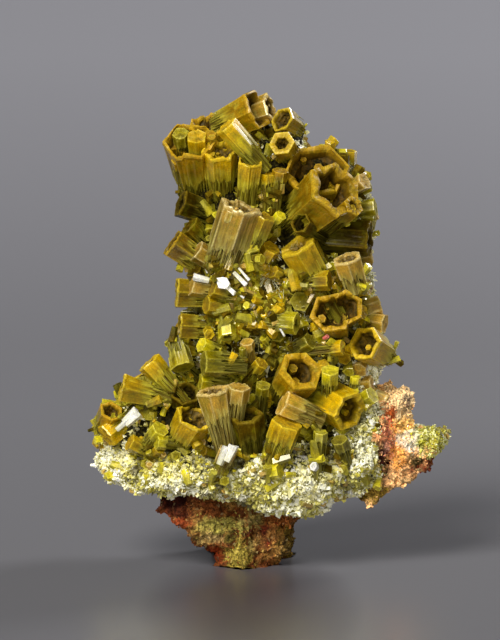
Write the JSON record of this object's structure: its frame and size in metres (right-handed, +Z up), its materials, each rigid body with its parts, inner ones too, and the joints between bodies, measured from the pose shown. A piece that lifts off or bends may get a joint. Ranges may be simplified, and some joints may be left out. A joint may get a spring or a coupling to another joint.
{
  "type": "pyromorphite specimen",
  "caption": "Free-standing mineral specimen: hoppered hexagonal olive-gold crystals on a pale granular crust over rusty limonite rock, resting on a flat broken foot.",
  "frame": {"origin": "centre of the flat broken foot of the limonite, where the specimen stands", "axes": "+Z up; the specimen faces -Y; +X to its right as the viewer sees it"},
  "size_m": [0.0358, 0.0217, 0.0478],
  "materials": {
    "limonite": "matte",
    "druse": "satin",
    "pyromorphite_brown": "satin",
    "pyromorphite_gold": "satin",
    "pyromorphite_olive": "satin",
    "pyromorphite_lemon": "satin",
    "pyromorphite_cream": "satin",
    "pyromorphite_dark": "satin"
  },
  "bodies": {
    "root": {"limonite_matrix": "limonite", "druse_crust": "druse", "crown_cluster": "pyromorphite_brown", "fan_centre": "pyromorphite_cream", "fan_down": "pyromorphite_lemon", "fan_wing_top": "pyromorphite_gold", "hopper_crown_cup": "pyromorphite_gold", "hopper_dark_fringe": "pyromorphite_dark", "hopper_dark_left": "pyromorphite_dark", "hopper_hexagon": "pyromorphite_brown", "hopper_hook": "pyromorphite_gold", "hopper_left": "pyromorphite_brown", "hopper_left_column": "pyromorphite_gold", "hopper_left_low": "pyromorphite_gold", "hopper_lip": "pyromorphite_dark", "hopper_low_right": "pyromorphite_dark", "hopper_right_back": "pyromorphite_brown", "hopper_right_front": "pyromorphite_brown", "hopper_ring_back": "pyromorphite_dark", "hopper_ring_left": "pyromorphite_brown", "hopper_round": "pyromorphite_brown", "hopper_tilted": "pyromorphite_gold", "hopper_top": "pyromorphite_brown", "hopper_top_cup": "pyromorphite_gold", "hopper_top_hexagon": "pyromorphite_gold", "hopper_wing": "pyromorphite_gold", "prism_across": "pyromorphite_lemon", "prism_comb": "pyromorphite_olive", "prism_comb_under": "pyromorphite_olive", "prism_cream_front": "pyromorphite_cream", "prism_crown_bar": "pyromorphite_gold", "prism_dark_left": "pyromorphite_dark", "prism_flat_right": "pyromorphite_cream", "prism_gold_front": "pyromorphite_gold", "prism_left_high": "pyromorphite_cream", "prism_left_inner": "pyromorphite_gold", "prism_pale_left": "pyromorphite_cream", "prism_short": "pyromorphite_cream", "prism_side": "pyromorphite_brown", "prism_tall": "pyromorphite_cream", "prism_white_left": "pyromorphite_gold", "prism_wing_down": "pyromorphite_olive", "slab_right": "pyromorphite_gold", "trumpet_left": "pyromorphite_gold", "wedge_centre": "pyromorphite_gold"}
  },
  "joints": []
}
